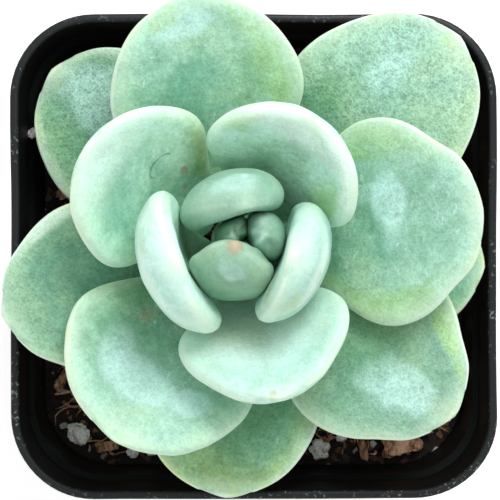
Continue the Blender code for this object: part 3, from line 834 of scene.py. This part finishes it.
def build_pot(settings):
    """An open box with round upright corners and a rim band, given its wall and its drain holes."""
    tall = settings.height
    half = settings.width / 2 - settings.step
    bpy.ops.mesh.primitive_cube_add(size=1.0, location=(0.0, 0.0, tall / 2))
    pot = new_piece("pot_shell")
    pot.scale = (2 * half, 2 * half, tall)
    apply_place(pot)
    select_parts(pot, "EDGE", lambda e: abs(e.verts[0].co.z - e.verts[1].co.z) > tall / 2)
    bpy.ops.mesh.bevel(offset=settings.corner, segments=14, affect="EDGES")
    select_parts(pot, "FACE", lambda f: f.normal.z > 0.9)
    bpy.ops.mesh.delete(type="ONLY_FACE")
    mode("OBJECT")

    band_foot = tall - settings.band
    levels = [band_foot - settings.step, band_foot, tall - 2 * MM, tall * 0.25, tall * 0.5, tall * 0.7]
    cut_levels(pot, 2, levels)
    reach = settings.width / 2 - settings.corner
    steps = [reach * k / 5 for k in range(-4, 5)]
    cut_levels(pot, 0, steps)
    cut_levels(pot, 1, steps)
    taper = half - settings.foot / 2
    for vert in pot.data.vertices:
        low = 1.0 - vert.co.z / tall
        out = settings.step if vert.co.z > band_foot - settings.step / 2 else 0.0
        shift = out - taper * low
        # A point on the floor's inside moves in proportion, so that the floor stays flat and even.
        for axis in (0, 1):
            share = max(-1.0, min(1.0, vert.co[axis] / reach))
            vert.co[axis] += shift * share
        wander = settings.warp * (vert.co.z / tall) ** 3
        vert.co.x += wander * noise.noise(Vector((vert.co.y / 0.016, 3.0, vert.co.x / 0.05)))
        vert.co.y += wander * noise.noise(Vector((vert.co.x / 0.016, 9.0, vert.co.y / 0.05)))
    apply_modifier(pot, "Wall", "SOLIDIFY", thickness=settings.wall, offset=-1.0, use_even_offset=True)
    apply_modifier(
        pot, "Rounded edges", "BEVEL", width=0.35 * MM, segments=3, limit_method="ANGLE",
        angle_limit=math.radians(50),
    )
    inset = settings.foot / 2 - DRAIN_INSET
    for side_x in (-1, 1):
        for side_y in (-1, 1):
            deselect()
            place = (side_x * inset, side_y * inset, 0.0)
            bpy.ops.mesh.primitive_cylinder_add(
                vertices=40, radius=DRAIN_RADIUS, depth=8.0 * MM, location=place
            )
            cutter = bpy.context.object
            apply_modifier(pot, "Drain", "BOOLEAN", object=cutter, operation="DIFFERENCE", solver="EXACT")
            bpy.data.objects.remove(cutter, do_unlink=True)
    points, normals = points_of(pot.data), normals_of(pot.data)
    inward = -(points[:, :2] * normals[:, :2]).sum(axis=1) / np.linalg.norm(points[:, :2], axis=1)
    write_reading(pot.data, "inside", (inward > 0.2) | ((normals[:, 2] > 0.5) & (points[:, 2] < 5 * MM)))
    pick(pot)
    bpy.ops.object.shade_smooth_by_angle(angle=math.radians(35))
    return pot


class SUCCULENT_OT_pot(Operator):
    """Make the thin square nursery pot"""

    bl_idname = "succulent.pot"
    bl_label = "Pot"

    def execute(self, context):
        deselect()
        settings = context.scene.succulent_pot
        finish_piece(build_pot(settings), pot_paint(settings), "pot_plastic", "pot")
        return {"FINISHED"}


# ---- Potting mix ----

SOIL_CORNER = 9.6 * MM
STEM_CLEARANCE = 5.5 * MM


def soil_surface():
    """A function that gives the height of the soil at a place."""
    surface = node_surface("soil")

    def height(x, y):
        spot = surface.ray_cast(Vector((x, y, POT_HIGH.z)), Vector((0, 0, -1)))[0]
        return spot.z if spot and spot.z > SOIL_HIGH.z - 3 * MM else SOIL_HIGH.z - 0.8 * MM

    return height


def dimmed(tone, share):
    return tuple(value * share for value in tone)


def soil_paint(name, settings, husk_share=0.12, husk_tone=0.45):
    """Moist crumbly mix, with flecks of husk and grit, and darkest beside the wall from painted shade."""
    paint = Paint(name)
    lumps = paint.cloud(2.0 * MM, 6.0, 0.5, rough=0.65)
    fine = paint.cloud(0.35 * MM, 3.0)
    tone = paint.mix(settings.soil, dimmed(settings.soil, 0.45), paint.rise(lumps, 0.35, 0.65))
    flecks = paint.cells(0.8 * MM, output="Color")
    husk = paint.rise(paint.part("X", flecks), 0.96 - husk_share, 1.04 - husk_share)
    tone = paint.mix(tone, dimmed(settings.husk, husk_tone), husk * 0.8)
    grit = paint.rise(paint.part("Y", flecks), 0.965, 0.985)
    tone = paint.mix(tone, settings.perlite, grit * 0.7)
    # Painted shade: the mix is darkened toward the pot's wall.
    outward = abs(paint.part("X")).most(abs(paint.part("Y")))
    wall_shade = paint.rise(outward, SOIL_HIGH.x - 3 * MM, SOIL_HIGH.x - 0.5 * MM, 1.0, 0.35)
    paint.set(Base_Color=paint.shade(tone, (0.7 + 0.6 * fine) * wall_shade), Roughness=0.9)
    paint.set(Normal=paint.bump(lumps + fine * 0.5, 0.5 * MM, 0.8))
    return paint.material


def build_soil():
    """The filled pot's mix: a fine-grained lumpy top, closed below."""
    height = soil_surface()
    low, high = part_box("soil")
    half = high.x
    deselect()
    bpy.ops.mesh.primitive_grid_add(x_subdivisions=150, y_subdivisions=150, size=2.0)
    soil = new_piece("soil_bed")
    inner = half - SOIL_CORNER
    foot_half = POT_FOOT / 2 - 2.0 * MM
    points = points_of(soil.data) * half
    dx, dy = np.abs(points[:, 0]) - inner, np.abs(points[:, 1]) - inner
    beyond = (dx > 0) & (dy > 0)
    shrink = np.maximum(dx, dy) / np.maximum(np.hypot(dx, dy), 1e-9)
    for axis, past in enumerate((dx, dy)):
        points[beyond, axis] = np.sign(points[beyond, axis]) * (inner + past[beyond] * shrink[beyond])
    # The height is read a little inward, so that no place at the rim misses the surface.
    points[:, 2] = [height(x * 0.985, y * 0.985) for x, y, _ in points.tolist()]
    lumps = 0.55 * ripple(points, 1.3 * MM, 3) + 0.35 * ripple(points, 0.6 * MM, 4)
    points[:, 2] += (np.abs(lumps) - 0.35) * MM
    move_points(soil.data, points)
    mode("EDIT")
    bpy.ops.mesh.select_mode(type="EDGE")
    bpy.ops.mesh.select_all(action="DESELECT")
    bpy.ops.mesh.select_non_manifold()
    bpy.ops.mesh.extrude_region_move(TRANSFORM_OT_translate={"value": (0.0, 0.0, -(high.z - low.z))})
    shrink_to = foot_half / half
    bpy.ops.transform.resize(value=(shrink_to, shrink_to, 0.0), center_override=(0.0, 0.0, low.z))
    bpy.ops.mesh.edge_face_add()
    return smooth_shade(soil)


def scatter_places(count, seed, margin):
    """Places on the soil, clear of the stem and of the pot's round corners, the same on each run."""
    rng = np.random.default_rng(seed)
    half = SOIL_HIGH.x - margin
    corner = 9 * MM
    places = []
    while len(places) < count:
        x, y = rng.uniform(-half, half, 2)
        near_x, near_y = abs(x) - (half - corner), abs(y) - (half - corner)
        if near_x > 0 and near_y > 0 and math.hypot(near_x, near_y) > corner:
            continue
        if math.hypot(x - STEM_X, y - STEM_Y) > STEM_CLEARANCE:
            places.append((x, y))
    return places, rng


def build_crumbs(settings):
    """Loose crumbs of mix: one lump modelled, then copied, turned and sized."""
    height = soil_surface()
    deselect()
    bpy.ops.mesh.primitive_ico_sphere_add(subdivisions=1, radius=0.5)
    model = bpy.context.object
    points = points_of(model.data)
    faces = [tuple(p.vertices) for p in model.data.polygons]
    bpy.data.objects.remove(model, do_unlink=True)
    places, rng = scatter_places(settings.crumbs, 11, 1.0 * MM)
    all_points, all_faces = [], []
    for x, y in places:
        size = settings.crumb_size * rng.lognormal(0.0, 0.35)
        squeeze = rng.uniform(0.55, 1.2, 3)
        turn = np.array(Matrix.Rotation(rng.uniform(0, math.tau), 3, Vector(rng.normal(size=3))))
        lump = (points * squeeze * rng.uniform(0.8, 1.2, (len(points), 1))) @ turn.T * size
        start = len(all_points) * len(points)
        all_points.append(lump + np.array([x, y, height(x, y) + 0.15 * size + 0.1 * MM]))
        all_faces += [tuple(i + start for i in face) for face in faces]
    mesh = bpy.data.meshes.new("soil_crumbs")
    mesh.from_pydata(np.concatenate(all_points).tolist(), [], all_faces)
    return smooth_shade(add_object("soil_crumbs", mesh))


def husk_paint(name, settings, grain=(1.0, 1.0, 1.0), seed=0, crack_tone=0.28):
    """Splintered brown husk: fine fibres, dark cracks, and pale patches that are partly torn fibre and partly
    painted highlight.
    """
    paint = Paint(name)
    here = paint.stretch(grain, shift=(seed * 0.013, seed * 0.007, 0.0))
    fibres = paint.cloud(0.35 * MM, 4.0, 0.6, here, 0.6)
    patches = paint.cloud(1.6 * MM, 3.0, 0.3, here)
    tone = paint.mix(settings.husk, dimmed(settings.husk, crack_tone), paint.rise(fibres, 0.4, 0.62))
    # Pale patches: partly torn fibre, partly painted highlight.
    tone = paint.mix(tone, (0.8, 0.5, 0.32), paint.rise(patches, 0.5, 0.64) * 0.75)
    paint.set(Base_Color=tone, Roughness=paint.rise(fibres, 0.3, 0.7, 0.7, 0.95))
    paint.set(Normal=paint.bump(fibres, 0.3 * MM, 0.9))
    return paint.material


def build_strands(settings):
    """Loose coconut fibres, each a thin bent tube lying on the mix."""
    height = soil_surface()
    places, rng = scatter_places(settings.strands, 29, 2.0 * MM)
    limit = SOIL_HIGH.x - 1.5 * MM
    bends = 5
    strands = []
    for x, y in places:
        reach = rng.uniform(1.2, 4.5) * MM
        angle, bend = rng.uniform(0, math.tau), rng.uniform(-1.6, 1.6)
        curve = bpy.data.curves.new("strand", "CURVE")
        curve.dimensions = "3D"
        curve.bevel_depth = rng.uniform(0.09, 0.22) * MM
        curve.bevel_resolution = 0
        curve.use_fill_caps = True
        spline = curve.splines.new("POLY")
        spline.points.add(bends)
        lift = rng.uniform(0.1, 1.0) * MM
        for step, point in enumerate(spline.points):
            share = step / bends
            x = max(-limit, min(limit, x + math.cos(angle + bend * share) * reach / bends))
            y = max(-limit, min(limit, y + math.sin(angle + bend * share) * reach / bends))
            z = height(x, y) + 0.35 * MM + lift * math.sin(math.pi * share)
            point.co = (x, y, z, 1.0)
            point.radius = 1.0 - 0.6 * share
        strands.append(add_object("strand", curve))
    deselect()
    for strand in strands:
        strand.select_set(True)
    bpy.context.view_layer.objects.active = strands[0]
    bpy.ops.object.convert(target="MESH")
    bpy.ops.object.join()
    tangle = new_piece("husk_strands")
    mode("EDIT")
    bpy.ops.mesh.select_all(action="SELECT")
    bpy.ops.mesh.remove_doubles(threshold=0.001 * MM)
    bpy.ops.mesh.normals_make_consistent(inside=False)
    return smooth_shade(tangle)


class SUCCULENT_OT_soil(Operator):
    """Make the potting mix, its loose crumbs and its strands of fibre"""

    bl_idname = "succulent.soil"
    bl_label = "Potting mix"

    def execute(self, context):
        settings = context.scene.succulent_mix
        finish_piece(build_soil(), soil_paint("moist_mix", settings), "soil_mix", "soil")
        finish_piece(build_crumbs(settings), soil_paint("crumb_mix", settings, 0.36, 0.6), "soil_mix")
        strand_husk = husk_paint("strand_husk", settings, crack_tone=0.7)
        finish_piece(build_strands(settings), strand_husk, "husk_fibre")
        return {"FINISHED"}


def perlite_paint(settings):
    """White expanded grain: chalky, pitted, stained by the mix in patches, and darker in its pits."""
    paint = Paint("perlite_white")
    pits = paint.cells(0.38 * MM)
    stain = paint.cloud(1.0 * MM, 4.0, 0.4)
    tone = paint.mix(settings.perlite, (0.22, 0.18, 0.13), paint.rise(stain, 0.56, 0.76) * 0.75)
    tone = paint.shade(tone, paint.rise(pits, 0.05, 0.55, 0.75, 1.1))
    paint.set(Base_Color=tone, Roughness=0.9)
    paint.set(Normal=paint.bump(pits + stain * 0.5, 0.2 * MM, 0.9))
    return paint.material


def build_wall_grain():
    """A small grain stuck to the inside of the pot's wall."""
    start = Vector((0.0, 16.6 * MM, POT_HIGH.z - 7.3 * MM))
    spot = node_surface("pot").ray_cast(start, Vector((-1.0, 0.0, 0.0)))[0]
    if not spot:
        raise RuntimeError("the pot has no wall beside the loose grain")
    deselect()
    place = spot + Vector((0.7 * MM, 0, 0))
    bpy.ops.mesh.primitive_ico_sphere_add(subdivisions=5, radius=0.8 * MM, location=place)
    grain = new_piece("perlite_on_wall")
    apply_place(grain)
    roughen(grain, lambda points: MM * (
        0.35 * ripple(points, 0.9 * MM, 51) + 0.12 * np.abs(ripple(points, 0.3 * MM, 52))
    ))
    return smooth_shade(grain)


class SUCCULENT_OT_perlite(Operator):
    """Make the white grains that lie on the mix"""

    bl_idname = "succulent.perlite"
    bl_label = "Perlite"

    def execute(self, context):
        material = perlite_paint(context.scene.succulent_mix)
        for seed, node in enumerate(nodes_named("perlite")):
            grain = rounded_copy(node, node + "_grain", 3)
            size = np.ptp(points_of(grain.data)[:, 0])
            roughen(grain, lambda points: 0.5 * size * (
                0.55 * ripple(points, 0.38 * size, seed)
                + 0.22 * np.abs(ripple(points, 0.15 * size, seed + 9))
            ))
            finish_piece(grain, material, "perlite_grain", node)
        finish_piece(build_wall_grain(), material, "perlite_grain")
        return {"FINISHED"}


class SUCCULENT_OT_bark(Operator):
    """Make the chips of bark and the stiff husk fibres"""

    bl_idname = "succulent.bark"
    bl_label = "Bark and fibre"

    def execute(self, context):
        settings = context.scene.succulent_mix
        for seed, node in enumerate(nodes_named("bark_chip")):
            chip = rounded_copy(node, node + "_splinter", 3)
            roughen(chip, lambda points: MM * (
                0.26 * ripple(points, 0.9 * MM, seed) + 0.14 * ripple(points, 0.35 * MM, seed + 5)
            ))
            chip_husk = husk_paint(node + "_husk", settings, (1.0, 0.35, 1.0), seed)
            finish_piece(chip, chip_husk, "bark_chip", node)
        fibre_husk = husk_paint("stiff_husk", settings)
        for seed, node in enumerate(nodes_named("husk_fibre")):
            fibre = rounded_copy(node, node + "_strand", 2)
            roughen(fibre, lambda points: 0.07 * MM * ripple(points, 0.5 * MM, seed + 31))
            finish_piece(fibre, fibre_husk, "husk_fibre", node)
        return {"FINISHED"}


# ---- Stage ----

# Where the camera stands over the pot, and the height that the view height is measured from.
CAMERA_PLACE = (-0.46 * MM, 0.85 * MM)
VIEW_BASE = 60.0 * MM


class SUCCULENT_OT_stage(Operator):
    """Set the floor, the light and the overhead camera"""

    bl_idname = "succulent.stage"
    bl_label = "Stage"

    def execute(self, context):
        settings = context.scene.succulent_stage
        scene = context.scene
        deselect()
        bpy.ops.mesh.primitive_plane_add(size=3.0, location=(0.0, 0.0, -0.0002))
        floor = new_piece("pale_floor")
        apply_place(floor)
        paint = Paint("pale_floor")
        paint.set(
            Base_Color=settings.floor, Roughness=0.8, Emission_Color=(1.0, 1.0, 1.0), Emission_Strength=0.36
        )
        floor.data.materials.append(paint.material)

        world = bpy.data.worlds.new("even_sky")
        scene.world = world
        world.use_nodes = True
        sky = world.node_tree.nodes["Background"]
        sky.inputs["Color"].default_value = (1.0, 1.0, 1.0, 1.0)
        sky.inputs["Strength"].default_value = settings.sky

        light = bpy.data.lights.new("soft_lamp", "AREA")
        light.shape = "DISK"
        light.size = 0.22
        light.energy = settings.lamp
        lamp = add_object("soft_lamp", light)
        lamp.location = (0.1, 0.28, 0.42)
        aim = Vector((0.0, 0.0, POT_HIGH.z)) - lamp.location
        lamp.rotation_euler = aim.to_track_quat("-Z", "Y").to_euler()

        lens = bpy.data.cameras.new("overhead_camera")
        lens.sensor_width = 36.0
        lens.lens = 36.0 * settings.view_height / settings.view_width
        lens.clip_start = 0.01
        camera = add_object("overhead_camera", lens)
        camera.location = (*CAMERA_PLACE, VIEW_BASE + settings.view_height)
        scene.camera = camera
        scene.view_settings.view_transform = "Standard"
        return {"FINISHED"}


# ---- Panel and registration ----

PIECE_OPERATORS = (
    SUCCULENT_OT_pot,
    SUCCULENT_OT_soil,
    SUCCULENT_OT_perlite,
    SUCCULENT_OT_bark,
    SUCCULENT_OT_stem,
    SUCCULENT_OT_outer_leaves,
    SUCCULENT_OT_middle_leaves,
    SUCCULENT_OT_inner_leaves,
    SUCCULENT_OT_heart_leaves,
    SUCCULENT_OT_stage,
)


class SUCCULENT_PT_panel(Panel):
    """Buttons and sizes for the potted succulent"""

    bl_label = "Potted Succulent"
    bl_idname = "SUCCULENT_PT_panel"
    bl_space_type = "VIEW_3D"
    bl_region_type = "UI"
    bl_category = "Succulent"

    def draw(self, context):
        for operator in PIECE_OPERATORS:
            self.layout.operator(operator.bl_idname)
        for group in SETTINGS:
            box = self.layout.box()
            values = getattr(context.scene, group)
            for key in values.__annotations__:
                box.prop(values, key)


SETTINGS = {
    "succulent_leaf": LeafSettings,
    "succulent_pot": PotSettings,
    "succulent_mix": MixSettings,
    "succulent_stage": StageSettings,
}


CLASSES = (*SETTINGS.values(), *PIECE_OPERATORS, SUCCULENT_PT_panel)


def register():
    for cls in CLASSES:
        bpy.utils.register_class(cls)
    for name, group in SETTINGS.items():
        setattr(bpy.types.Scene, name, PointerProperty(type=group))


def unregister():
    for name in SETTINGS:
        delattr(bpy.types.Scene, name)
    for cls in reversed(CLASSES):
        bpy.utils.unregister_class(cls)


def main():
    register()
    for operator in PIECE_OPERATORS:
        group, action = operator.bl_idname.split(".")
        getattr(getattr(bpy.ops, group), action)()


if __name__ == "__main__":
    main()
